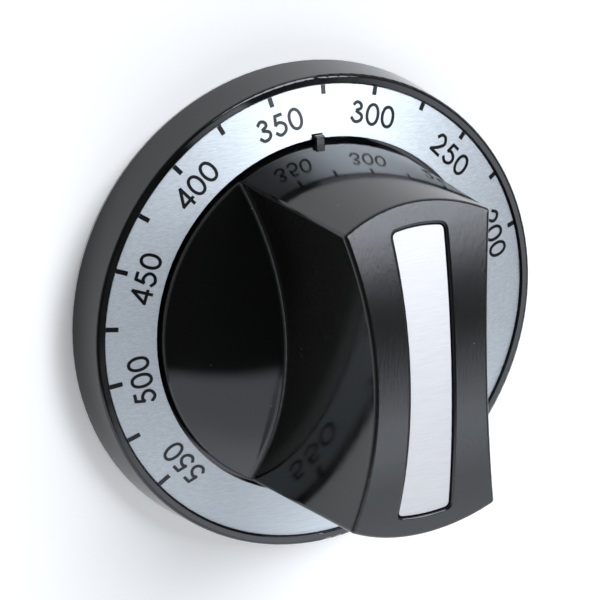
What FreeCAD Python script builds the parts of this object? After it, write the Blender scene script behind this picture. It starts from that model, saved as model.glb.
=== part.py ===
import FreeCAD, Part
import os
import Sketcher

# Oven thermostat knob that pushes onto a flatted stem: a black moulding with a round skirt, a domed hub
# and a waisted grip bar, a formed aluminium dial ring that carries the temperature scale, an aluminium
# strip let into the face of the grip, and a steel spring clip in the stem socket.
# +Z is the knob's axis towards the user, and the skirt's back rim lies in the plane z = 0.
# +Y runs along the grip towards the index lug. Millimetres.

SIZES = [
    ("skirt_dia", 70.0, "skirt diameter at the back rim"),
    ("skirt_height", 7.1, "back rim to the top of the lip"),
    ("skirt_draft", 4.8, "degrees that the skirt closes in by towards the lip"),
    ("skirt_wall", 2.0, "thickness of the skirt's wall"),
    ("lip_width", 1.3, "lip around the dial ring"),
    ("lip_round", 0.45, "rounding of the lip's outer edge"),
    ("lip_ease", 0.2, "rounding of the lip's inner edge"),
    ("rim_round", 0.4, "rounding of the back rim"),
    ("dial_sink", 0.3, "dial ring's outer edge below the lip"),
    ("dial_width", 7.16, "dial ring's width from its outer to its inner edge"),
    ("dial_rise", 1.5, "dial ring's inner edge above its outer edge"),
    ("dial_sheet", 0.5, "thickness of the dial ring's sheet"),
    ("dial_gap", 0.1, "clearance around the dial ring"),
    ("hub_draft", 2.9, "degrees that the hub and the grip's ends close in by"),
    ("hub_rise", 0.6, "dome's foot above the dial ring's inner edge"),
    ("moat_width", 0.58, "gap between the hub and the dial ring"),
    ("moat_depth", 0.8, "gap's floor below the dial ring's underside"),
    ("dome_rise", 7.7, "dome's apex above its foot"),
    ("grip_height", 30.75, "top of the grip's crown above the dome's foot"),
    ("grip_waist", 17.4, "grip's width across its waist at the crown"),
    ("waist_radius", 94.3, "radius of the grip's hollow sides at the crown"),
    ("side_draft", 2.3, "degrees that the grip's sides close in by"),
    ("crown_radius", 71.6, "radius of the grip's face along its length"),
    ("foot_round", 0.8, "fillet where the grip's sides meet the dome"),
    ("corner_round", 0.6, "rounding of the grip's upright corners and of the dome's foot"),
    ("face_round", 0.55, "rounding around the grip's face"),
    ("strip_margin", 3.18, "grip's end at the crown to the strip's end"),
    ("strip_waist", 6.3, "strip's width at the middle"),
    ("strip_side_radius", 260.0, "radius of the strip's hollow sides"),
    ("strip_corner", 0.7, "strip's corner radius"),
    ("strip_sheet", 0.8, "strip's thickness"),
    ("strip_sink", 0.4, "strip's face below the grip's face"),
    ("strip_gap", 0.2, "clearance around the strip"),
    ("recess_round", 0.35, "rounding of the strip's recess at the grip's face"),
    ("key_width", 1.5, "index lug's width"),
    ("key_bite", 0.56, "index lug's reach past the dial ring's inner edge"),
    ("key_stand", 0.9, "index lug's top above the dial ring's inner edge"),
    ("key_round", 0.2, "rounding of the index lug's edges"),
    ("key_gap", 0.1, "clearance of the dial ring's notch"),
    ("shell_wall", 2.0, "thickness of the dome and under the dial ring"),
    ("cavity_round", 1.0, "rounding inside the skirt's corner"),
    ("grip_wall", 2.2, "thickness of the grip's walls"),
    ("face_wall", 3.0, "thickness under the grip's crown"),
    ("block_length", 16.0, "solid middle of the grip, along the grip"),
    ("boss_dia", 12.5, "stem boss's diameter"),
    ("boss_recess", 2.5, "boss's mouth above the back rim"),
    ("rib_width", 1.6, "ribs' thickness"),
    ("rib_spacing", 8.0, "distance between the two ribs along the grip"),
    ("rib_recess", 3.0, "ribs' edges above the back rim"),
    ("stem_dia", 6.35, "stem's diameter"),
    ("stem_flat", 0.8, "depth of the stem's flat"),
    ("stem_gap", 0.025, "clearance around the stem's flatted end"),
    ("pilot_gap", 0.25, "clearance around the stem's round part"),
    ("mouth_chamfer", 0.3, "chamfer at the socket's mouth"),
    ("pilot_depth", 5.0, "length of the socket's round part"),
    ("socket_depth", 18.0, "whole depth of the socket"),
    ("clip_width", 2.4, "spring clip's width"),
    ("clip_sheet", 0.4, "spring clip's thickness"),
    ("clip_depth", 0.75, "clip slot's floor beyond the socket's wall"),
    ("clip_fold", 0.1, "inside radius of the clip's fold"),
    ("clip_bite", 0.05, "crest of the clip's leaf past the socket's flat"),
    ("clip_gap", 0.1, "clearance at the clip's edges"),
]

# Radii and levels that follow from the sizes.
# "at" names the level that a drafted wall's radius is taken at, and "inner" a surface of the hollow back.
# Cuts run past the moulding by run_past.
LEVELS = [
    ("run_past", "Sizes.skirt_wall"),
    ("rim_radius", "Sizes.skirt_dia / 2"),
    ("lip_outer", "Levels.rim_radius - tan(Sizes.skirt_draft) * Sizes.skirt_height"),
    ("lip_inner", "Levels.lip_outer - Sizes.lip_width"),
    ("dial_outer", "Levels.lip_inner - Sizes.dial_gap"),
    ("dial_low", "Sizes.skirt_height - Sizes.dial_sink"),
    ("hub_level", "Levels.dial_low + Sizes.dial_rise"),
    ("dial_inner", "Levels.dial_outer - Sizes.dial_width"),
    ("dial_slope", "Sizes.dial_rise / Sizes.dial_width"),
    ("hub_radius", "Levels.dial_inner - Sizes.moat_width"),
    ("foot_level", "Levels.hub_level + Sizes.hub_rise"),
    ("foot_radius", "Levels.hub_radius - tan(Sizes.hub_draft) * Sizes.hub_rise"),
    ("seat_low", "Levels.dial_low - Sizes.dial_sheet"),
    ("seat_high", "Levels.hub_level - Sizes.dial_sheet"),
    ("seat_edge", "Levels.seat_low - Levels.dial_slope * Sizes.dial_gap"),
    ("moat_level", "Levels.seat_high - Sizes.moat_depth"),
    ("moat_middle", "Levels.hub_radius + Sizes.moat_width / 2"),
    ("crown_level", "Levels.foot_level + Sizes.grip_height"),
    ("clear_level", "Levels.crown_level + Levels.run_past"),
    ("hub_at_moat", "Levels.hub_radius + tan(Sizes.hub_draft) * (Levels.hub_level - Levels.moat_level)"),
    ("hub_at_crown", "Levels.foot_radius - tan(Sizes.hub_draft) * Sizes.grip_height"),
    ("hub_at_clear", "Levels.hub_at_crown - tan(Sizes.hub_draft) * Levels.run_past"),
    ("dome_apex", "Levels.foot_level + Sizes.dome_rise"),
    ("dome_radius", "(Levels.foot_radius ^ 2 + Sizes.dome_rise ^ 2) / (2 * Sizes.dome_rise)"),
    ("dome_centre", "Levels.dome_apex - Levels.dome_radius"),
    ("dome_low", "Levels.dome_centre + sqrt(Levels.dome_radius ^ 2 - Levels.moat_middle ^ 2)"),
    ("crown_centre", "Levels.crown_level - Sizes.crown_radius"),
    ("side_axis", "Sizes.grip_waist / 2 + Sizes.waist_radius"),
    ("side_at_moat", "Sizes.waist_radius - tan(Sizes.side_draft) * (Levels.crown_level - Levels.moat_level)"),
    ("side_at_clear", "Sizes.waist_radius + tan(Sizes.side_draft) * Levels.run_past"),
    ("key_tip", "Levels.dial_inner + Sizes.key_bite"),
    ("key_level", "Levels.hub_level + Sizes.key_stand"),
    ("strip_axis", "Sizes.strip_waist / 2 + Sizes.strip_side_radius"),
    ("strip_end", "Levels.hub_at_crown - Sizes.strip_margin"),
    ("strip_top", "Sizes.crown_radius - Sizes.strip_sink"),
    ("strip_bottom", "Levels.strip_top - Sizes.strip_sheet"),
    ("inner_web", "Levels.seat_edge - Sizes.shell_wall"),
    ("inner_rim", "Levels.rim_radius - Sizes.skirt_wall"),
    ("inner_rim_at_web", "Levels.inner_rim - tan(Sizes.skirt_draft) * Levels.inner_web"),
    ("inner_rim_at_clear", "Levels.inner_rim + tan(Sizes.skirt_draft) * Levels.run_past"),
    ("inner_dome", "Levels.dome_radius - Sizes.shell_wall"),
    ("inner_apex", "Levels.dome_apex - Sizes.shell_wall"),
    ("inner_dome_at_web", "sqrt(Levels.inner_dome ^ 2 - (Levels.inner_web - Levels.dome_centre) ^ 2)"),
    ("inner_side_at_web", "Sizes.waist_radius + Sizes.grip_wall"
        " - tan(Sizes.side_draft) * (Levels.crown_level - Levels.inner_web)"),
    ("inner_side_at_crown", "Sizes.waist_radius + Sizes.grip_wall"),
    ("inner_end_at_web", "Levels.hub_radius - Sizes.grip_wall"
        " + tan(Sizes.hub_draft) * (Levels.hub_level - Levels.inner_web)"),
    ("inner_end_at_crown", "Levels.hub_at_crown - Sizes.grip_wall"),
    ("pilot_radius", "Sizes.stem_dia / 2 + Sizes.pilot_gap"),
    ("socket_radius", "Sizes.stem_dia / 2 + Sizes.stem_gap"),
    ("flat_offset", "Sizes.stem_dia / 2 - Sizes.stem_flat + Sizes.stem_gap"),
    ("flat_half", "sqrt(Levels.socket_radius ^ 2 - Levels.flat_offset ^ 2)"),
    ("pilot_level", "Sizes.boss_recess + Sizes.pilot_depth"),
    ("socket_level", "Sizes.boss_recess + Sizes.socket_depth"),
    ("slot_floor", "Levels.socket_radius + Sizes.clip_depth"),
    ("fold_outer", "Sizes.clip_fold + Sizes.clip_sheet"),
    ("fold_middle", "Levels.slot_floor - Levels.fold_outer"),
    ("fold_level", "Levels.pilot_level + Sizes.clip_gap + Levels.fold_outer"),
    ("leaf_front", "Levels.slot_floor - 2 * Levels.fold_outer"),
    ("leaf_end", "Levels.socket_level - Sizes.clip_gap"),
    ("leaf_bow", "Levels.leaf_front - Levels.flat_offset + Sizes.clip_bite"),
    ("leaf_half", "(Levels.leaf_end - Levels.fold_level) / 2"),
    ("leaf_radius", "(Levels.leaf_half ^ 2 + Levels.leaf_bow ^ 2) / (2 * Levels.leaf_bow)"),
]

# Lengths that differ by less count as the same.
SAME = 0.01

doc = FreeCAD.newDocument("oven_knob")

sheet = doc.addObject("Spreadsheet::Sheet", "Sizes")
for row, (alias, number, meaning) in enumerate(SIZES, start=1):
    sheet.set(f"A{row}", meaning)
    sheet.set(f"B{row}", str(number))
    sheet.setAlias(f"B{row}", alias)
doc.recompute()

levels = doc.addObject("App::VarSet", "Levels")
for name, rule in LEVELS:
    levels.addProperty("App::PropertyFloat", name, "Levels")
    levels.setExpression(name, rule)
doc.recompute()


def number(rule):
    """The value of an expression on the sizes and levels."""
    return float(sheet.evalExpression(rule))


def new_body(name):
    body = doc.addObject("PartDesign::Body", name)
    body.Label = name
    return body


def plane(body, role):
    """One of the body's own origin planes."""
    return next(item for item in body.Origin.OriginFeatures if item.Role == role)


def sketch_on(body, name, role, across=None, above=None):
    """A sketch on an origin plane, moved across it along its own x axis or above it along its normal."""
    sketch = body.newObject("Sketcher::SketchObject", name)
    sketch.AttachmentSupport = [(plane(body, role), "")]
    sketch.MapMode = "FlatFace"
    if across:
        sketch.setExpression("AttachmentOffset.Base.x", across)
    if above:
        sketch.setExpression("AttachmentOffset.Base.z", above)
    return sketch


def pin(sketch, edge, end, x, y):
    """Holds one point of a sketch at x, y. A coordinate of "0" puts the point on that axis."""
    for kind, rule, axis in (("DistanceX", x, -2), ("DistanceY", y, -1)):
        if rule == "0":
            sketch.addConstraint(Sketcher.Constraint("PointOnObject", edge, end, axis))
        else:
            index = sketch.addConstraint(Sketcher.Constraint(kind, -1, 1, edge, end, number(rule)))
            sketch.setExpression(f"Constraints[{index}]", rule)


def arc_between(start, end, radius, turn):
    """The short arc from start to end, turning left or right on the way."""
    chord = end - start
    normal = FreeCAD.Vector(-chord.y, chord.x, 0).normalize()
    side = 1 if turn == "left" else -1
    reach = (radius ** 2 - (chord.Length / 2) ** 2) ** 0.5
    centre = start + chord / 2 + normal * reach * side
    middle = centre - normal * radius * side
    return Part.Arc(start, middle, end)


def outline(sketch, corners, arcs=None):
    """A closed outline through the corners, each a pair of expressions. arcs gives the turn and the
    radius of each side that is an arc, by the number of the corner that it starts from."""
    arcs = arcs or {}
    points = [FreeCAD.Vector(number(x), number(y), 0) for x, y in corners]
    first = sketch.GeometryCount
    ends = []
    for index, start in enumerate(points):
        finish = points[(index + 1) % len(points)]
        if index in arcs:
            turn, radius = arcs[index]
            edge = sketch.addGeometry(arc_between(start, finish, number(radius), turn))
            ends.append((1, 2) if turn == "left" else (2, 1))
            constraint = sketch.addConstraint(Sketcher.Constraint("Radius", edge, number(radius)))
            sketch.setExpression(f"Constraints[{constraint}]", radius)
        else:
            sketch.addGeometry(Part.LineSegment(start, finish))
            ends.append((1, 2))
    for index, (x, y) in enumerate(corners):
        edge = first + index
        before = first + (index - 1) % len(points)
        start = ends[index][0]
        sketch.addConstraint(Sketcher.Constraint("Coincident", before, ends[index - 1][1], edge, start))
        pin(sketch, edge, start, x, y)
    return sketch


def rectangle(sketch, left, right, front, back):
    """An upright rectangle between two x and two y values."""
    return outline(sketch, [(left, front), (right, front), (right, back), (left, back)])


def circle(sketch, radius):
    """A circle around the sketch's origin."""
    edge = sketch.addGeometry(Part.Circle(FreeCAD.Vector(), FreeCAD.Vector(0, 0, 1), number(radius)))
    sketch.addConstraint(Sketcher.Constraint("Coincident", edge, 3, -1, 1))
    constraint = sketch.addConstraint(Sketcher.Constraint("Radius", edge, number(radius)))
    sketch.setExpression(f"Constraints[{constraint}]", radius)
    return sketch


def turned(body, name, sketch, kind="Revolution"):
    """A full turn of a sketch about its own vertical axis."""
    feature = body.newObject(f"PartDesign::{kind}", name)
    feature.Profile = sketch
    feature.ReferenceAxis = (sketch, ["V_Axis"])
    feature.Angle = 360
    return feature


def extruded(body, name, sketch, length, kind="Pad", both_ways=False, backwards=False):
    """A pad or pocket of a sketch. length is an expression, or None for a pocket through all."""
    feature = body.newObject(f"PartDesign::{kind}", name)
    feature.Profile = sketch
    if both_ways:
        feature.SideType = "Symmetric"
    feature.Reversed = backwards
    if length:
        feature.setExpression("Length", length)
    else:
        feature.Type = "ThroughAll"
    return feature


def combined(body, name, tool, kind):
    """The body joined with, cut by or kept inside another body."""
    feature = body.newObject("PartDesign::Boolean", name)
    feature.setObjects([tool])
    feature.Type = kind
    return feature


def mirrored(body, name, original, role):
    feature = body.newObject("PartDesign::Mirrored", name)
    feature.Originals = [original]
    feature.MirrorPlane = (plane(body, role), [""])
    body.Tip = feature
    return feature


def rounded(body, name, edges, size, kind="Fillet"):
    """Rounds the edges of the body so far that edges picks."""
    doc.recompute()
    base = body.Tip
    picked = [
        f"Edge{index}" for index, edge in enumerate(base.Shape.Edges, start=1)
        if not edge.Degenerated and edges(base.Shape, edge)
    ]
    if not picked:
        raise RuntimeError(f"{name}: no edge to round")
    feature = body.newObject(f"PartDesign::{kind}", name)
    feature.Base = (base, picked)
    feature.setExpression("Radius" if kind == "Fillet" else "Size", size)
    return feature


def waisted(sketch, axis, side, end):
    """An outline with hollow sides, arcs of radius side about x = axis and -axis, and round ends of
    radius end about the origin."""
    x = f"({axis} ^ 2 + ({end}) ^ 2 - ({side}) ^ 2) / (2 * {axis})"
    y = f"sqrt(({end}) ^ 2 - ({x}) ^ 2)"
    corners = [(x, y), (f"-({x})", y), (f"-({x})", f"-{y}"), (x, f"-{y}")]
    round_end = ("left", end)
    hollow_side = ("right", side)
    return outline(sketch, corners, {0: round_end, 1: hollow_side, 2: round_end, 3: hollow_side})


def crowned(body, name, radius, keep="below"):
    """Trims a body to what lies below or above an arc of this radius, which runs along the grip."""
    side = f"Levels.crown_centre + sqrt(({radius}) ^ 2 - Levels.hub_radius ^ 2)"
    far = "Levels.clear_level + Levels.run_past" if keep == "below" else "-Levels.run_past"
    sketch = sketch_on(body, f"{name}_sketch", "YZ_Plane")
    corners = [
        ("-Levels.hub_radius", side),
        ("Levels.hub_radius", side),
        ("Levels.hub_radius", far),
        ("-Levels.hub_radius", far),
    ]
    outline(sketch, corners, {0: ("right", radius)})
    return extruded(body, name, sketch, None, "Pocket", both_ways=True)


def is_dome(face):
    return isinstance(face.Surface, Part.Sphere)


def is_side(face):
    """One of the grip's hollow sides, whose axis stands beside the knob."""
    return isinstance(face.Surface, Part.Cone) and abs(face.Surface.Center.x) > number("Levels.rim_radius")


def is_hub(face):
    """The hub's wall, which runs on up the grip's ends."""
    reach = max(vertex.Point.x ** 2 + vertex.Point.y ** 2 for vertex in face.Vertexes) ** 0.5
    return isinstance(face.Surface, Part.Cone) and reach < number("Levels.dial_inner")


def is_crown(face):
    """The grip's face. The floor of the strip's recess lies below it, about the same axis."""
    surface = face.Surface
    return isinstance(surface, Part.Cylinder) and abs(surface.Radius - number("Sizes.crown_radius")) < SAME


def is_upright_wall(face):
    return isinstance(face.Surface, Part.Cylinder) and abs(face.Surface.Axis.z) > abs(face.Surface.Axis.x)


def on(shape, edge, kind):
    """Whether a face of this kind meets the edge."""
    return any(kind(face) for face in shape.ancestorsOfType(edge, Part.Face))


def is_upright(shape, edge):
    return isinstance(edge.Curve, Part.Line) and abs(edge.Curve.Direction.z) > 1 - SAME


def is_foot(shape, edge):
    """Where a side of the grip meets the dome."""
    return on(shape, edge, is_dome) and on(shape, edge, is_side)


def is_corner(shape, edge):
    """The upper edges of the hub's wall: the dome's foot, the foot fillets' ends and the grip's corners."""
    above_moat = edge.BoundBox.ZMin > number("Levels.moat_level") + SAME
    return above_moat and on(shape, edge, is_hub) and not on(shape, edge, is_crown)


def is_face_edge(shape, edge):
    return on(shape, edge, is_crown)


def is_recess_edge(shape, edge):
    return on(shape, edge, is_crown) and on(shape, edge, is_upright_wall)


def is_key_edge(shape, edge):
    """The edges of the lug's top and end, apart from its foot."""
    box = edge.BoundBox
    at_top = box.ZMax > number("Levels.key_level") - SAME
    at_tip = box.YMax > number("Levels.key_tip") - SAME
    on_key = box.XLength < number("Sizes.key_width") + SAME and box.ZMin > number("Levels.moat_level")
    return at_top and at_tip and on_key


def ring(radius, level):
    """Picks the round edges of this radius about the knob's axis at this level."""
    def picks(shape, edge):
        curve = edge.Curve
        return (
            isinstance(curve, Part.Circle)
            and abs(curve.Radius - number(radius)) < SAME
            and abs(curve.Center.x) + abs(curve.Center.y) + abs(curve.Center.z - number(level)) < SAME
        )
    return picks


# The space over the dome on both sides of the grip: what lies above the dome and within reach of the
# hollow sides.
above_dome = new_body("above_dome")
sketch = sketch_on(above_dome, "above_dome_sketch", "XZ_Plane")
outline(sketch, [
    ("Levels.moat_middle", "Levels.dome_low"),
    ("Levels.moat_middle", "Levels.clear_level + Levels.run_past"),
    ("0", "Levels.clear_level + Levels.run_past"),
    ("0", "Levels.dome_apex"),
], {3: ("right", "Levels.dome_radius")})
turned(above_dome, "above_dome_turn", sketch)

shoulders = new_body("shoulders")
shoulders.AllowCompound = True
sketch = sketch_on(shoulders, "side_sketch", "XZ_Plane", across="Levels.side_axis")
outline(sketch, [
    ("0", "Levels.moat_level"),
    ("Levels.side_at_moat", "Levels.moat_level"),
    ("Levels.side_at_clear", "Levels.clear_level"),
    ("0", "Levels.clear_level"),
])
side = turned(shoulders, "side", sketch)
mirrored(shoulders, "other_side", side, "YZ_Plane")
combined(shoulders, "shoulders_over_dome", above_dome, "Common")

# The moulding's outside: skirt, lip, dial seat, moat and the hub's drum, turned in one profile, then the
# dome and the grip cut out of the drum.
knob = new_body("knob_body")
sketch = sketch_on(knob, "profile", "XZ_Plane")
outline(sketch, [
    ("0", "0"),
    ("Levels.rim_radius", "0"),
    ("Levels.lip_outer", "Sizes.skirt_height"),
    ("Levels.lip_inner", "Sizes.skirt_height"),
    ("Levels.lip_inner", "Levels.seat_edge"),
    ("Levels.dial_inner", "Levels.seat_high"),
    ("Levels.dial_inner", "Levels.moat_level"),
    ("Levels.hub_at_moat", "Levels.moat_level"),
    ("Levels.hub_at_clear", "Levels.clear_level"),
    ("0", "Levels.clear_level"),
])
turned(knob, "skirt_and_drum", sketch)
combined(knob, "dome_and_sides", shoulders, "Cut")
crowned(knob, "crown", "Sizes.crown_radius")

# The fillet at the grip's foot comes first. It joins the dome's foot to the grip's upright corners, so
# that one rounding runs along both, and the face's rounding then runs round all four corners.
rounded(knob, "foot_fillet", is_foot, "Sizes.foot_round")
rounded(knob, "corner_rounding", is_corner, "Sizes.corner_round")
rounded(knob, "face_rounding", is_face_edge, "min(Sizes.face_round; Sizes.corner_round)")

# The index lug stands in the moat at the foot of the grip's end and reaches over the dial ring.
sketch = sketch_on(knob, "key_sketch", "XY_Plane", above="Levels.moat_level")
rectangle(sketch, "-Sizes.key_width / 2", "Sizes.key_width / 2",
          "Levels.hub_radius - Sizes.key_width", "Levels.key_tip")
extruded(knob, "key", sketch, "Levels.key_level - Levels.moat_level")
rounded(knob, "key_rounding", is_key_edge, "Sizes.key_round")

# The recess that takes the strip follows the crown.
recess = new_body("recess")
sketch = sketch_on(recess, "recess_sketch", "XY_Plane", above="Levels.dome_apex")
waisted(sketch, "Levels.strip_axis", "Sizes.strip_side_radius - Sizes.strip_gap",
        "Levels.strip_end + Sizes.strip_gap")
extruded(recess, "recess_block", sketch, "Levels.clear_level - Levels.dome_apex")
crowned(recess, "recess_floor", "Levels.strip_bottom", keep="above")
rounded(recess, "recess_corners", is_upright, "Sizes.strip_corner + Sizes.strip_gap")
combined(knob, "strip_recess", recess, "Cut")
rounded(knob, "recess_rounding", is_recess_edge, "Sizes.recess_round")

rounded(knob, "lip_rounding", ring("Levels.lip_outer", "Sizes.skirt_height"), "Sizes.lip_round")
rounded(knob, "lip_easing", ring("Levels.lip_inner", "Sizes.skirt_height"), "Sizes.lip_ease")
rounded(knob, "rim_rounding", ring("Levels.rim_radius", "0"), "Sizes.rim_round")

# The hollow back: a web of even thickness under the dial and the dome, two pockets up into the grip, and
# the boss with its ribs left standing. The ribs along the grip run to the top of the pockets.
hollow = new_body("hollow")
hollow.AllowCompound = True
sketch = sketch_on(hollow, "hollow_sketch", "XZ_Plane")
outline(sketch, [
    ("0", "-Levels.run_past"),
    ("Levels.inner_rim_at_clear", "-Levels.run_past"),
    ("Levels.inner_rim_at_web", "Levels.inner_web"),
    ("Levels.inner_dome_at_web", "Levels.inner_web"),
    ("0", "Levels.inner_apex"),
], {3: ("left", "Levels.inner_dome")})
turned(hollow, "back", sketch)
rounded(hollow, "cavity_rounding", ring("Levels.inner_rim_at_web", "Levels.inner_web"), "Sizes.cavity_round")

low = sketch_on(hollow, "pocket_mouth", "XY_Plane", above="Levels.inner_web")
waisted(low, "Levels.side_axis", "Levels.inner_side_at_web", "Levels.inner_end_at_web")
high = sketch_on(hollow, "pocket_top", "XY_Plane", above="Levels.crown_level")
waisted(high, "Levels.side_axis", "Levels.inner_side_at_crown", "Levels.inner_end_at_crown")
pockets = hollow.newObject("PartDesign::AdditiveLoft", "pockets")
pockets.Profile = low
pockets.Sections = [high]
pockets.Ruled = True
crowned(hollow, "pocket_crown", "Sizes.crown_radius - Sizes.face_wall")

sketch = sketch_on(hollow, "boss_sketch", "XY_Plane", above="Sizes.boss_recess")
circle(sketch, "Sizes.boss_dia / 2")
extruded(hollow, "boss", sketch, None, "Pocket", backwards=True)
sketch = sketch_on(hollow, "block_sketch", "XY_Plane", above="Levels.inner_apex")
rectangle(sketch, "-Levels.hub_radius", "Levels.hub_radius",
          "-Sizes.block_length / 2", "Sizes.block_length / 2")
extruded(hollow, "block", sketch, None, "Pocket", backwards=True)
sketch = sketch_on(hollow, "cross_rib_sketch", "XY_Plane", above="Sizes.rib_recess")
rectangle(sketch, "-Levels.rim_radius", "Levels.rim_radius", "-Sizes.rib_width / 2", "Sizes.rib_width / 2")
extruded(hollow, "cross_rib", sketch, None, "Pocket", backwards=True)
sketch = sketch_on(hollow, "long_ribs_sketch", "XY_Plane", above="Sizes.rib_recess")
rectangle(sketch, "(Sizes.rib_spacing - Sizes.rib_width) / 2", "(Sizes.rib_spacing + Sizes.rib_width) / 2",
          "-Levels.rim_radius", "Levels.rim_radius")
rectangle(sketch, "-(Sizes.rib_spacing + Sizes.rib_width) / 2", "-(Sizes.rib_spacing - Sizes.rib_width) / 2",
          "-Levels.rim_radius", "Levels.rim_radius")
extruded(hollow, "long_ribs", sketch, None, "Pocket", backwards=True)
combined(knob, "hollow_back", hollow, "Cut")

# The stem's socket: round at its mouth, flatted above, with a slot behind the flat for the spring clip.
sketch = sketch_on(knob, "pilot_sketch", "XY_Plane", above="Sizes.boss_recess")
circle(sketch, "Levels.pilot_radius")
extruded(knob, "pilot", sketch, "Sizes.pilot_depth", "Pocket", backwards=True)
sketch = sketch_on(knob, "socket_sketch", "XY_Plane", above="Levels.pilot_level")
outline(sketch, [
    ("Levels.flat_half", "Levels.flat_offset"),
    ("-Levels.flat_half", "Levels.flat_offset"),
    ("0", "-Levels.socket_radius"),
], {1: ("left", "Levels.socket_radius"), 2: ("left", "Levels.socket_radius")})
extruded(knob, "socket", sketch, "Sizes.socket_depth - Sizes.pilot_depth", "Pocket", backwards=True)
sketch = sketch_on(knob, "clip_slot_sketch", "XY_Plane", above="Sizes.boss_recess")
rectangle(sketch, "-Sizes.clip_width / 2 - Sizes.clip_gap", "Sizes.clip_width / 2 + Sizes.clip_gap",
          "0", "Levels.slot_floor")
extruded(knob, "clip_slot", sketch, "Sizes.socket_depth", "Pocket", backwards=True)
doc.recompute()
rounded(knob, "socket_mouth", ring("Levels.pilot_radius", "Sizes.boss_recess"),
        "Sizes.mouth_chamfer", "Chamfer")

# The dial ring: a shallow cone of sheet that lies on its seat inside the lip, notched around the lug.
dial = new_body("dial_ring")
sketch = sketch_on(dial, "dial_sketch", "XZ_Plane")
outline(sketch, [
    ("Levels.dial_outer", "Levels.seat_low"),
    ("Levels.dial_outer", "Levels.dial_low"),
    ("Levels.dial_inner", "Levels.hub_level"),
    ("Levels.dial_inner", "Levels.seat_high"),
])
turned(dial, "dial_sheet", sketch)
sketch = sketch_on(dial, "notch_sketch", "XY_Plane")
rectangle(sketch, "-Sizes.key_width / 2 - Sizes.key_gap", "Sizes.key_width / 2 + Sizes.key_gap",
          "Levels.hub_radius", "Levels.key_tip + Sizes.key_gap")
extruded(dial, "notch", sketch, None, "Pocket", both_ways=True)

# The strip: sheet bent to the crown, with hollow sides and round ends.
strip = new_body("grip_strip")
sketch = sketch_on(strip, "strip_sketch", "XY_Plane", above="Levels.dome_apex")
waisted(sketch, "Levels.strip_axis", "Sizes.strip_side_radius", "Levels.strip_end")
extruded(strip, "strip_block", sketch, "Levels.clear_level - Levels.dome_apex")
crowned(strip, "strip_face", "Levels.strip_top")
crowned(strip, "strip_back", "Levels.strip_bottom", keep="above")
rounded(strip, "strip_corners", is_upright, "Sizes.strip_corner")

# The spring clip: one leaf folded back on itself. Its back lies on the slot's floor, the fold faces the
# socket's mouth, and the bowed front leaf bears on the stem's flat.
clip = new_body("spring_clip")
sketch = sketch_on(clip, "clip_sketch", "YZ_Plane")
outline(sketch, [
    ("Levels.slot_floor", "Levels.fold_level"),
    ("Levels.slot_floor", "Levels.leaf_end"),
    ("Levels.slot_floor - Sizes.clip_sheet", "Levels.leaf_end"),
    ("Levels.slot_floor - Sizes.clip_sheet", "Levels.fold_level"),
    ("Levels.fold_middle", "Levels.fold_level - Sizes.clip_fold"),
    ("Levels.leaf_front + Sizes.clip_sheet", "Levels.fold_level"),
    ("Levels.leaf_front + Sizes.clip_sheet", "Levels.leaf_end"),
    ("Levels.leaf_front", "Levels.leaf_end"),
    ("Levels.leaf_front", "Levels.fold_level"),
    ("Levels.fold_middle", "Levels.fold_level - Levels.fold_outer"),
], {
    3: ("right", "Sizes.clip_fold"),
    4: ("right", "Sizes.clip_fold"),
    5: ("right", "Levels.leaf_radius - Sizes.clip_sheet"),
    7: ("left", "Levels.leaf_radius"),
    8: ("left", "Levels.fold_outer"),
    9: ("left", "Levels.fold_outer"),
})
extruded(clip, "leaf", sketch, "Sizes.clip_width", both_ways=True)

doc.recompute()
for item in doc.Objects:
    if "Invalid" in item.State or "Error" in item.State:
        raise RuntimeError(f"{item.Name}: {item.getStatusString()}")
os.makedirs("parts", exist_ok=True)
for node in (knob, dial, strip, clip):
    shape = node.Shape
    if shape.isNull() or not shape.isValid() or len(shape.Solids) != 1:
        raise RuntimeError(f"{node.Label}: not one valid solid")
    shape.exportStep(f"parts/{node.Label}.step")
    print(node.Label, round(shape.Volume, 2))
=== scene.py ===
from math import atan2, cos, hypot, pi, radians, sin

import bmesh
import bpy
from mathutils import Matrix, Vector


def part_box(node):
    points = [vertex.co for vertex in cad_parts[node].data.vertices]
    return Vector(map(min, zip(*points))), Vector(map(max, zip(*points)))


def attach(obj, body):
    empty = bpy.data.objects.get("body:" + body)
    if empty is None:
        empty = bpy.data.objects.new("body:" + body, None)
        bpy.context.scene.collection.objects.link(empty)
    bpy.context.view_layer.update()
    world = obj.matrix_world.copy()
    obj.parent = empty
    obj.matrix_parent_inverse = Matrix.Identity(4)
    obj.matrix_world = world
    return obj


# Looks of the oven thermostat knob: glossy black phenolic moulding, brushed aluminium dial ring and strip,
# printed temperature scale and the studio that it lies in. Metres, in the CAD frame: +Z out of the
# cooker's panel, +Y along the grip to the index lug, and the skirt's rim at z = 0.

MM = 0.001

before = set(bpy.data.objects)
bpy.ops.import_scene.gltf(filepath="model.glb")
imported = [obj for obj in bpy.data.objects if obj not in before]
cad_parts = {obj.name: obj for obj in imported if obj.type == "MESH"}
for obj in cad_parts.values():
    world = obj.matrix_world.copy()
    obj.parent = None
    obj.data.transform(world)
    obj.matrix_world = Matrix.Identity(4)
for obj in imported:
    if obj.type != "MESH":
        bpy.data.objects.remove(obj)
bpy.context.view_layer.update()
dial_low, dial_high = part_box("dial_ring")
knob_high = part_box("knob_body")[1]

# The printed scale, measured on the ring. Angles are in degrees and run anticlockwise from +X.
NUMERALS = range(200, 551, 50)
NUMERAL_FIRST_ANGLE = 13.6
NUMERAL_ANGLE_STEP = 29.32
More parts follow.
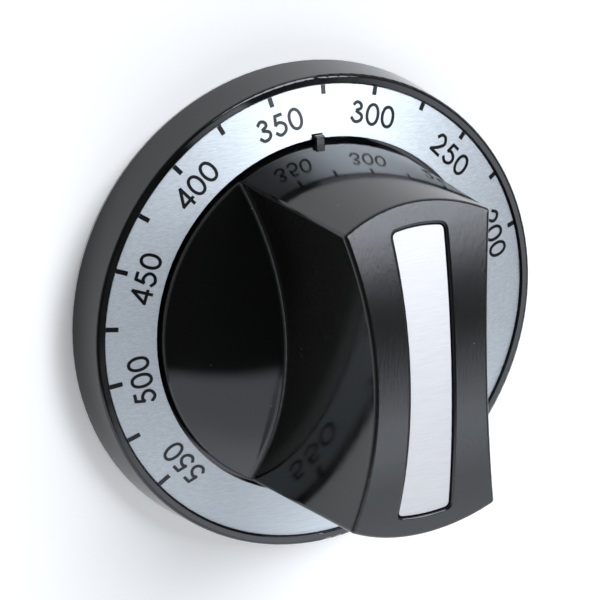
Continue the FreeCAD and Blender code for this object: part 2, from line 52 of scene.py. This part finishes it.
# The bars at 200, 250 and so on aren't quite evenly spaced, and the bars between them stand halfway.
MARK_ANGLES = [13.6, 42.9, 72.2, 101.4, 130.7, 159.4, 188.7, 218.8]
MARK_WIDTH = 0.66 * MM
MARK_INNER_RADIUS = 31.5 * MM
# The bars stop this far from the ring's outer edge.
MARK_MARGIN = 0.03 * MM
NUMERAL_TOP_RADIUS = 30.4 * MM
NUMERAL_HEIGHT = 3.13 * MM
NUMERAL_PITCH = 2.5 * MM
STROKE = 0.45 * MM
# The print sits a little off the ring's centre.
PRINT_OFFSET = Vector((0.31, 0.22, 0)) * MM
# The ink stands proud of the ring's face, and its underside is sunk a hair into it.
INK_PROUD = 0.03 * MM
INK_SUNK = 0.01 * MM

# The dial's cone, from the CAD ring: its outer edge is the lower one.
DIAL_OUTER = dial_high.x
DIAL_INNER = 25.84 * MM
DIAL_SHEET = 0.5 * MM
DIAL_EDGE_LEVEL = dial_low.z + DIAL_SHEET
DIAL_RISE = dial_high.z - DIAL_EDGE_LEVEL

# The hollow back lies inside this radius and below this level.
BACK_RADIUS = 33.2 * MM
BACK_LEVEL = 6.2 * MM

# The grip's face is a cylinder about an axis across the knob. Its satin fades into the gloss of the edges
# between these depths below it.
CROWN_RADIUS = 71.6 * MM
CROWN_CENTRE = knob_high.z - CROWN_RADIUS
SATIN_FULL_DEPTH = 0.03 * MM
SATIN_END_DEPTH = 0.12 * MM

# Roughness of the moulding where the tool was polished, on the rubbed face and on the back.
POLISHED = 0.07
RUBBED = 0.25
CORE_DULL = 0.3

# Specks of filler: the size of a cell, the share of the cells that hold a speck, and the radius of a speck
# as a part of a cell.
SPECK_CELL = 2 * MM
SPECK_SHARE = 0.35
SPECK_RADIUS = 0.05

# Strokes of the digits in millimetres from the left end of the baseline: a straight bar, an open bend or a
# closed loop through the points.
DIGITS = {
    "0": [("loop", (0.21, 1.565), (1.1, 2.92), (1.99, 1.565), (1.1, 0.21))],
    "2": [("bend", (0.28, 2.15), (1.05, 2.92), (1.87, 2.15), (1.5, 1.4), (0.3, 0.26)),
          ("bar", (0.08, 0.21), (2.08, 0.21))],
    "3": [("bend", (0.33, 2.45), (1.0, 2.92), (1.65, 2.33), (0.85, 1.72)),
          ("bend", (0.85, 1.72), (1.91, 0.95), (1.0, 0.21), (0.2, 0.75))],
    "4": [("bar", (1.62, 0.0), (1.62, 3.05)), ("bar", (1.68, 3.05), (0.2, 0.85)),
          ("bar", (0.0, 0.85), (2.2, 0.85))],
    "5": [("bar", (0.6, 2.92), (1.85, 2.92)), ("bar", (0.76, 3.0), (0.46, 1.6)),
          ("bend", (0.42, 1.68), (1.1, 1.92), (1.92, 1.05), (1.0, 0.21), (0.2, 0.72))],
}
DIGIT_WIDTH = 2.2 * MM
BEND_STEPS = 8
# Points of a digit that are nearer than this are one point.
MERGE_DISTANCE = 0.001 * MM

# The lamps have the faint blue of daylight tubes.
DAYLIGHT = "#eef4ff"

# The paper floor reaches this far on each side and lies a hair below the knob's rim.
FLOOR_REACH = 3
FLOOR_GAP = 0.03 * MM

# Glow of the paper that brings its lit parts up to white.
PAPER_LIFT = 0.15

# Elevations between which the room's pale lower part turns into its dark ceiling.
PALE_ROOM_TOP = radians(24)
CEILING_START = radians(38)

# Parts of the white wall's height between which its light fades out.
WALL_FADE_START = 0.7
WALL_FADE_END = 0.95

# The photograph's view: the camera looks down at the knob from the -X +Y side with its head turned. The
# lens and the sensor are in millimetres.
VIEW_AZIMUTH = radians(143.818)
VIEW_ELEVATION = radians(57.428)
VIEW_ROLL = radians(119.943)
VIEW_DISTANCE = 0.593159
VIEW_TARGET = Vector((-2.715, 2.308, 6.8)) * MM
LENS = 253.807
SENSOR = 36


def linear(hex_colour):
    """An sRGB hex colour as a linear RGBA value."""
    values = [int(hex_colour[i:i + 2], 16) / 255 for i in (1, 3, 5)]
    return (*(v / 12.92 if v <= 0.04045 else ((v + 0.055) / 1.055) ** 2.4 for v in values), 1)


def add_node(tree, kind, inputs=None, **settings):
    """Adds a node. An input given a socket is linked to it, and any other input is set to its value."""
    node = tree.nodes.new(kind)
    for name, value in settings.items():
        setattr(node, name, value)
    for name, value in (inputs or {}).items():
        if isinstance(value, bpy.types.NodeSocket):
            tree.links.new(value, node.inputs[name])
        else:
            node.inputs[name].default_value = value
    return node


def new_material(name):
    """A material with an empty node tree and its output node."""
    material = bpy.data.materials.new(name)
    material.use_nodes = True
    material.node_tree.nodes.clear()
    output = material.node_tree.nodes.new("ShaderNodeOutputMaterial")
    return material, material.node_tree, output


def phenolic_moulding():
    """Black phenolic, compression moulded in a polished tool: a deep black with sharp reflections. The
    grip's face is rubbed to a satin that spreads them, and the hollow back is dull from the tool's core."""
    material, tree, output = new_material("phenolic_moulding")
    place = add_node(tree, "ShaderNodeTexCoord").outputs["Object"]

    # Distance from the crown's axis tells the face from everything below it.
    from_crown = add_node(tree, "ShaderNodeVectorMath", {0: place, 1: (0, 0, CROWN_CENTRE)},
                          operation="SUBTRACT").outputs["Vector"]
    across = add_node(tree, "ShaderNodeVectorMath", {0: from_crown, 1: (0, 1, 1)},
                      operation="MULTIPLY").outputs["Vector"]
    reach = add_node(tree, "ShaderNodeVectorMath", {0: across}, operation="LENGTH").outputs["Value"]
    satin = add_node(tree, "ShaderNodeMapRange", {
        "Value": reach,
        "From Min": CROWN_RADIUS - SATIN_END_DEPTH, "From Max": CROWN_RADIUS - SATIN_FULL_DEPTH,
    }).outputs["Result"]
    face_gloss = add_node(tree, "ShaderNodeMapRange", {
        "Value": satin, "To Min": POLISHED, "To Max": RUBBED,
    }).outputs["Result"]

    # The back lies inside the skirt and below the web.
    flat = add_node(tree, "ShaderNodeVectorMath", {0: place, 1: (1, 1, 0)},
                    operation="MULTIPLY").outputs["Vector"]
    radius = add_node(tree, "ShaderNodeVectorMath", {0: flat}, operation="LENGTH").outputs["Value"]
    height = add_node(tree, "ShaderNodeSeparateXYZ", {"Vector": place}).outputs["Z"]
    inside = add_node(tree, "ShaderNodeMath", {0: radius, 1: BACK_RADIUS},
                      operation="LESS_THAN").outputs["Value"]
    below = add_node(tree, "ShaderNodeMath", {0: height, 1: BACK_LEVEL},
                     operation="LESS_THAN").outputs["Value"]
    back = add_node(tree, "ShaderNodeMath", {0: inside, 1: below}, operation="MULTIPLY").outputs["Value"]
    gloss = add_node(tree, "ShaderNodeMix", {
        "Factor": back, "A": face_gloss, "B": CORE_DULL,
    }, data_type="FLOAT").outputs["Result"]

    # The flow of the compound leaves the gloss a little uneven over patches of about 6 mm.
    patches = add_node(tree, "ShaderNodeTexNoise", {
        "Vector": place, "Scale": 1 / (6 * MM), "Detail": 3.0, "Roughness": 0.6,
    }).outputs["Fac"]
    patchy = add_node(tree, "ShaderNodeMapRange", {
        "Value": patches, "From Min": 0.3, "From Max": 0.7, "To Min": 0.0, "To Max": 0.03,
    }).outputs["Result"]
    roughness = add_node(tree, "ShaderNodeMath", {0: gloss, 1: patchy}, operation="ADD").outputs["Value"]

    # Polishing leaves soft ripples about 2 mm apart that only the edges of reflections show.
    ripple = add_node(tree, "ShaderNodeTexNoise", {
        "Vector": place, "Scale": 1 / (2 * MM), "Detail": 2.0,
    }).outputs["Fac"]
    rippled = add_node(tree, "ShaderNodeBump", {
        "Height": ripple, "Strength": 0.25, "Distance": 0.01 * MM,
    }).outputs["Normal"]

    # Rubbing leaves fine scratches along the grip's face, drawn at 0.25 mm though the real ones are finer.
    drawn_out = add_node(tree, "ShaderNodeMapping", {
        "Vector": place, "Scale": (1, 1 / 8, 1),
    }).outputs["Vector"]
    scratches = add_node(tree, "ShaderNodeTexNoise", {
        "Vector": drawn_out, "Scale": 1 / (0.25 * MM), "Detail": 2.0,
    }).outputs["Fac"]
    normal = add_node(tree, "ShaderNodeBump", {
        "Height": scratches, "Strength": satin, "Distance": 0.02 * MM, "Normal": rippled,
    }).outputs["Normal"]

    # Here and there a speck of the cellulose filler shows as a pale dot.
    cells = add_node(tree, "ShaderNodeTexVoronoi", {"Vector": place, "Scale": 1 / SPECK_CELL}).outputs
    draw = add_node(tree, "ShaderNodeSeparateColor", {"Color": cells["Color"]}).outputs["Red"]
    chosen = add_node(tree, "ShaderNodeMath", {0: draw, 1: SPECK_SHARE},
                      operation="LESS_THAN").outputs["Value"]
    near = add_node(tree, "ShaderNodeMath", {0: cells["Distance"], 1: SPECK_RADIUS},
                    operation="LESS_THAN").outputs["Value"]
    speck = add_node(tree, "ShaderNodeMath", {0: chosen, 1: near}, operation="MULTIPLY").outputs["Value"]
    tint = add_node(tree, "ShaderNodeMix", {
        "Factor": patches, "A": linear("#0b0b09"), "B": linear("#11110e"),
    }, data_type="RGBA").outputs["Result"]
    colour = add_node(tree, "ShaderNodeMix", {
        "Factor": speck, "A": tint, "B": linear("#5e5e58"),
    }, data_type="RGBA").outputs["Result"]
    shader = add_node(tree, "ShaderNodeBsdfPrincipled", {
        "Base Color": colour, "Roughness": roughness, "IOR": 1.52, "Normal": normal,
    })
    tree.links.new(shader.outputs["BSDF"], output.inputs["Surface"])
    return material


def brushed_aluminium(name, light, dark, roughness, line_spacing):
    """Clear anodised aluminium sheet, brushed in straight lines along X: a pale metal whose highlights
    spread across the brushing, with edges that the shears and the belt left slightly round. The real lines
    are under 0.1 mm apart, finer than the render can show, so they are drawn at line_spacing."""
    material, tree, output = new_material(name)
    place = add_node(tree, "ShaderNodeTexCoord").outputs["Object"]
    stretched = add_node(tree, "ShaderNodeMapping", {
        "Vector": place, "Scale": (1 / 30, 1, 1),
    }).outputs["Vector"]
    lines = add_node(tree, "ShaderNodeTexNoise", {
        "Vector": stretched, "Scale": 1 / line_spacing, "Detail": 3.0, "Roughness": 0.7,
    }).outputs["Fac"]
    strong = add_node(tree, "ShaderNodeMapRange", {
        "Value": lines, "From Min": 0.3, "From Max": 0.7,
    }).outputs["Result"]
    colour = add_node(tree, "ShaderNodeMix", {
        "Factor": strong, "A": linear(dark), "B": linear(light),
    }, data_type="RGBA").outputs["Result"]
    rough = add_node(tree, "ShaderNodeMapRange", {
        "Value": strong, "To Min": roughness - 0.04, "To Max": roughness + 0.04,
    }).outputs["Result"]
    edged = add_node(tree, "ShaderNodeBevel", {"Radius": 0.12 * MM}, samples=4).outputs["Normal"]
    normal = add_node(tree, "ShaderNodeBump", {
        "Height": lines, "Strength": 0.4, "Distance": 0.004 * MM, "Normal": edged,
    }).outputs["Normal"]
    across = add_node(tree, "ShaderNodeCombineXYZ", {"Y": 1.0}).outputs["Vector"]
    shader = add_node(tree, "ShaderNodeBsdfPrincipled", {
        "Base Color": colour, "Metallic": 1.0, "Roughness": rough, "Anisotropic": 0.75,
        "Tangent": across, "Normal": normal,
    })
    tree.links.new(shader.outputs["BSDF"], output.inputs["Surface"])
    return material


def screen_ink():
    """Black epoxy ink, screen printed and baked: dense and half glossy, with a faint mottle from the mesh."""
    material, tree, output = new_material("screen_ink")
    place = add_node(tree, "ShaderNodeTexCoord").outputs["Object"]
    mottle = add_node(tree, "ShaderNodeTexNoise", {
        "Vector": place, "Scale": 1 / (0.3 * MM), "Detail": 2.0,
    }).outputs["Fac"]
    colour = add_node(tree, "ShaderNodeMix", {
        "Factor": mottle, "A": linear("#030304"), "B": linear("#08080a"),
    }, data_type="RGBA").outputs["Result"]
    shader = add_node(tree, "ShaderNodeBsdfPrincipled", {
        "Base Color": colour, "Roughness": 0.28, "IOR": 1.5,
    })
    tree.links.new(shader.outputs["BSDF"], output.inputs["Surface"])
    return material


def spring_steel():
    """Blued spring steel strip, cold rolled: dark grey metal with long roll marks along the leaf."""
    material, tree, output = new_material("spring_steel")
    place = add_node(tree, "ShaderNodeTexCoord").outputs["Object"]
    stretched = add_node(tree, "ShaderNodeMapping", {
        "Vector": place, "Scale": (1, 1, 1 / 20),
    }).outputs["Vector"]
    marks = add_node(tree, "ShaderNodeTexNoise", {
        "Vector": stretched, "Scale": 1 / (0.2 * MM), "Detail": 2.0,
    }).outputs["Fac"]
    colour = add_node(tree, "ShaderNodeMix", {
        "Factor": marks, "A": linear("#5d6068"), "B": linear("#8b8e94"),
    }, data_type="RGBA").outputs["Result"]
    rough = add_node(tree, "ShaderNodeMapRange", {
        "Value": marks, "From Min": 0.3, "From Max": 0.7, "To Min": 0.25, "To Max": 0.4,
    }).outputs["Result"]
    shader = add_node(tree, "ShaderNodeBsdfPrincipled", {
        "Base Color": colour, "Metallic": 1.0, "Roughness": rough,
    })
    tree.links.new(shader.outputs["BSDF"], output.inputs["Surface"])
    return material


def backdrop_paper():
    """Matt white studio paper with a faint cloudiness. To the camera and in reflections it glows a little, so
    that it reads as an even white that keeps the knob's shadow, and it lights the knob no more for that."""
    material, tree, output = new_material("backdrop_paper")
    place = add_node(tree, "ShaderNodeTexCoord").outputs["Object"]
    clouds = add_node(tree, "ShaderNodeTexNoise", {
        "Vector": place, "Scale": 1 / (40 * MM), "Detail": 2.0,
    }).outputs["Fac"]
    colour = add_node(tree, "ShaderNodeMix", {
        "Factor": clouds, "A": linear("#fdfaf5"), "B": linear("#fffdf8"),
    }, data_type="RGBA").outputs["Result"]
    paper = add_node(tree, "ShaderNodeBsdfPrincipled", {
        "Base Color": colour, "Roughness": 0.9, "Specular IOR Level": 0.2,
    })
    path = add_node(tree, "ShaderNodeLightPath").outputs
    seen = add_node(tree, "ShaderNodeMath", {
        0: path["Is Camera Ray"], 1: path["Is Glossy Ray"],
    }, operation="MAXIMUM").outputs["Value"]
    shown = add_node(tree, "ShaderNodeMath", {
        0: seen, 1: path["Is Transmission Ray"],
    }, operation="MAXIMUM").outputs["Value"]
    lift = add_node(tree, "ShaderNodeMath", {0: shown, 1: PAPER_LIFT}, operation="MULTIPLY").outputs["Value"]
    glow = add_node(tree, "ShaderNodeEmission", {"Color": linear("#ffffff"), "Strength": lift})
    shader = add_node(tree, "ShaderNodeAddShader", {0: paper.outputs["BSDF"], 1: glow.outputs["Emission"]})
    tree.links.new(shader.outputs["Shader"], output.inputs["Surface"])
    return material


def new_piece(name, mesh, material):
    """Shows a finished mesh as a piece of the knob."""
    piece = bpy.data.objects.new(name, mesh)
    bpy.context.collection.objects.link(piece)
    mesh.materials.append(material)
    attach(piece, "root")


def lay_on_dial(shape):
    """Lifts a flat bmesh, drawn at z = 0, onto the dial's cone."""
    for vertex in shape.verts:
        inward = DIAL_OUTER - hypot(vertex.co.x, vertex.co.y)
        vertex.co.z += DIAL_EDGE_LEVEL + DIAL_RISE * inward / (DIAL_OUTER - DIAL_INNER)


def scale_marks(ink):
    """A bar for every 25 degrees of the oven, from the ring's outer edge inwards."""
    between = [(first + second) / 2 for first, second in zip(MARK_ANGLES, MARK_ANGLES[1:])]
    marks = bmesh.new()
    for angle in [radians(degrees) for degrees in MARK_ANGLES + between]:
        outwards = Vector((cos(angle), sin(angle), 0))
        start = (PRINT_OFFSET + outwards * MARK_INNER_RADIUS).dot(outwards)
        end = DIAL_OUTER - MARK_MARGIN
        place = (
            Matrix.Rotation(angle, 4, "Z")
            @ Matrix.Translation(((start + end) / 2, 0, (INK_PROUD - INK_SUNK) / 2))
            @ Matrix.Diagonal((end - start, MARK_WIDTH, INK_PROUD + INK_SUNK, 1))
        )
        bmesh.ops.create_cube(marks, size=1, matrix=place)
    lay_on_dial(marks)
    mesh = bpy.data.meshes.new("scale_marks")
    marks.to_mesh(mesh)
    marks.free()
    new_piece("scale_marks", mesh, ink)


def pen_section():
    """The cross-section of a printed stroke, a flat bar."""
    section = bpy.data.curves.new("pen_section", "CURVE")
    section.dimensions = "2D"
    spline = section.splines.new("POLY")
    spline.points.add(3)
    half = STROKE / 2
    corners = [(-half, -INK_SUNK), (half, -INK_SUNK), (half, INK_PROUD), (-half, INK_PROUD)]
    for point, (x, y) in zip(spline.points, corners):
        point.co = (x, y, 0, 1)
    spline.use_cyclic_u = True
    return bpy.data.objects.new("pen_section", section)


def digit_mesh(digit, section):
    """One digit as a mesh, flat on z = 0, with its baseline's left end at the origin."""
    curve = bpy.data.curves.new(f"digit_{digit}", "CURVE")
    curve.dimensions = "3D"
    curve.resolution_u = BEND_STEPS
    curve.bevel_mode = "OBJECT"
    curve.bevel_object = section
    curve.use_fill_caps = True
    curve.twist_mode = "Z_UP"
    for kind, *points in DIGITS[digit]:
        spline = curve.splines.new("BEZIER")
        spline.bezier_points.add(len(points) - 1)
        for knot, (x, y) in zip(spline.bezier_points, points):
            knot.co = (x * MM, y * MM, 0)
            knot.handle_left_type = knot.handle_right_type = "VECTOR" if kind == "bar" else "AUTO"
        spline.use_cyclic_u = kind == "loop"
        spline.use_smooth = False
    drawn = bpy.data.objects.new(f"digit_{digit}", curve)
    bpy.context.collection.objects.link(drawn)
    bpy.context.view_layer.update()
    mesh = bpy.data.meshes.new_from_object(drawn.evaluated_get(bpy.context.evaluated_depsgraph_get()))
    bpy.data.objects.remove(drawn)
    return mesh


def scale_numerals(ink):
    """The numbers every 50 degrees, tops outwards, each in one straight line across its mark's radius."""
    section = pen_section()
    bpy.context.collection.objects.link(section)
    digits = {digit: digit_mesh(digit, section) for digit in DIGITS}
    numerals = bmesh.new()
    for place, number in enumerate(NUMERALS):
        angle = radians(NUMERAL_FIRST_ANGLE + place * NUMERAL_ANGLE_STEP)
        outwards = Vector((cos(angle), sin(angle), 0))
        baseline = PRINT_OFFSET + outwards * (NUMERAL_TOP_RADIUS - NUMERAL_HEIGHT)
        turned = Matrix.Translation(baseline) @ Matrix.Rotation(angle - pi / 2, 4, "Z")
        for index, digit in enumerate(str(number)):
            left = (index - 1) * NUMERAL_PITCH - DIGIT_WIDTH / 2
            before = set(numerals.verts)
            numerals.from_mesh(digits[digit])
            added = [vertex for vertex in numerals.verts if vertex not in before]
            bmesh.ops.transform(numerals, matrix=turned @ Matrix.Translation((left, 0, 0)), verts=added)
    bmesh.ops.remove_doubles(numerals, verts=numerals.verts, dist=MERGE_DISTANCE)
    bmesh.ops.recalc_face_normals(numerals, faces=numerals.faces)
    lay_on_dial(numerals)
    mesh = bpy.data.meshes.new("scale_numerals")
    numerals.to_mesh(mesh)
    numerals.free()
    bpy.data.objects.remove(section)
    new_piece("scale_numerals", mesh, ink)


def dress(node, material):
    """Gives a CAD node its finish."""
    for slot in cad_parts[node].material_slots:
        slot.material = material


def studio_floor():
    """The paper that the knob lies on, a hair below its rim."""
    floor = bmesh.new()
    level = Matrix.Translation((0, 0, -FLOOR_GAP))
    bmesh.ops.create_grid(floor, x_segments=1, y_segments=1, size=FLOOR_REACH, matrix=level)
    mesh = bpy.data.meshes.new("floor")
    floor.to_mesh(mesh)
    floor.free()
    mesh.materials.append(backdrop_paper())
    ground = bpy.data.objects.new("floor", mesh)
    bpy.context.collection.objects.link(ground)


def soft_box(name, place, width, height, radiance):
    """A rectangular lamp that faces the knob. Its power gives each point of it this radiance."""
    lamp = bpy.data.lights.new(name, "AREA")
    lamp.shape = "RECTANGLE"
    lamp.size = width
    lamp.size_y = height
    lamp.energy = radiance * pi * width * height
    lamp.color = linear(DAYLIGHT)[:3]
    box = bpy.data.objects.new(name, lamp)
    bpy.context.collection.objects.link(box)
    box.location = place
    box.rotation_euler = place.to_track_quat("Z", "Y").to_euler()
    box.visible_camera = False
    return box


def from_knob(azimuth, elevation, distance):
    """The point at this distance from the knob, in this direction in degrees."""
    azimuth, elevation = radians(azimuth), radians(elevation)
    return distance * Vector((cos(azimuth) * cos(elevation), sin(azimuth) * cos(elevation), sin(elevation)))


def white_wall(start, end, height, radiance):
    """An upright panel beside the knob, between two points on the floor. Its light fades out towards the
    top, as on a sheet of paper that curves away."""
    along = end - start
    middle = (start + end) / 2
    wall = soft_box("white_wall", middle, along.length, height, radiance)
    wall.location.z = height / 2
    wall.rotation_euler = (pi / 2, 0, atan2(along.y, along.x))
    wall.data.use_nodes = True
    tree = wall.data.node_tree
    tree.nodes.clear()
    place = add_node(tree, "ShaderNodeTexCoord").outputs["UV"]
    rise = add_node(tree, "ShaderNodeSeparateXYZ", {"Vector": place}).outputs["Y"]
    fade = add_node(tree, "ShaderNodeMapRange", {
        "Value": rise, "From Min": WALL_FADE_START, "From Max": WALL_FADE_END, "To Min": 1.0, "To Max": 0.0,
    }, interpolation_type="SMOOTHSTEP").outputs["Result"]
    glow = add_node(tree, "ShaderNodeEmission", {"Strength": fade})
    add_node(tree, "ShaderNodeOutputLight", {"Surface": glow.outputs["Emission"]})


def studio_world():
    """A grey room round the knob and the white wall, darker overhead, so that the dome stays black."""
    world = bpy.data.worlds.new("studio")
    world.use_nodes = True
    tree = world.node_tree
    tree.nodes.clear()
    direction = add_node(tree, "ShaderNodeTexCoord").outputs["Generated"]
    height = add_node(tree, "ShaderNodeSeparateXYZ", {"Vector": direction}).outputs["Z"]
    ceiling = add_node(tree, "ShaderNodeMapRange", {
        "Value": height, "From Min": sin(PALE_ROOM_TOP), "From Max": sin(CEILING_START),
    }, interpolation_type="SMOOTHSTEP").outputs["Result"]
    colour = add_node(tree, "ShaderNodeMix", {
        "Factor": ceiling, "A": linear("#acb0b6"), "B": linear("#34373b"),
    }, data_type="RGBA").outputs["Result"]
    background = add_node(tree, "ShaderNodeBackground", {"Color": colour, "Strength": 1.0})
    add_node(tree, "ShaderNodeOutputWorld", {"Surface": background.outputs["Background"]})
    bpy.context.scene.world = world


def photograph_camera():
    """The camera that took the photograph, solved from the knob's circles and the grip's corners."""
    lens = bpy.data.cameras.new("camera")
    lens.lens = LENS
    lens.sensor_width = SENSOR
    camera = bpy.data.objects.new("camera", lens)
    bpy.context.collection.objects.link(camera)
    towards = Vector((
        cos(VIEW_AZIMUTH) * cos(VIEW_ELEVATION),
        sin(VIEW_AZIMUTH) * cos(VIEW_ELEVATION),
        sin(VIEW_ELEVATION),
    ))
    upright = towards.to_track_quat("Z", "Y").to_matrix().to_4x4()
    camera.matrix_world = (
        Matrix.Translation(VIEW_TARGET + towards * VIEW_DISTANCE)
        @ upright
        @ Matrix.Rotation(VIEW_ROLL, 4, "Z")
    )
    bpy.context.scene.camera = camera


photograph_camera()
studio_floor()
studio_world()

# Two soft boxes above the knob, and a white wall on its -Y side that the moulding mirrors.
soft_box("key_lamp", from_knob(46, 52, 1.0), width=0.52, height=0.62, radiance=9)
soft_box("fill_lamp", from_knob(317, 51, 1.0), width=0.45, height=0.3, radiance=2.3)
white_wall(from_knob(215, 0, 2.37), from_knob(322, 0, 1.47), height=2.25, radiance=1.3)

dress("knob_body", phenolic_moulding())
dress("dial_ring", brushed_aluminium(
    "brushed_aluminium_dial", light="#d0d5d6", dark="#b5babc", roughness=0.5, line_spacing=0.15 * MM,
))
dress("grip_strip", brushed_aluminium(
    "brushed_aluminium_strip", light="#c2c0be", dark="#b0afae", roughness=0.55, line_spacing=0.11 * MM,
))
dress("spring_clip", spring_steel())
ink = screen_ink()
scale_marks(ink)
scale_numerals(ink)

bpy.context.scene.view_settings.view_transform = "Standard"
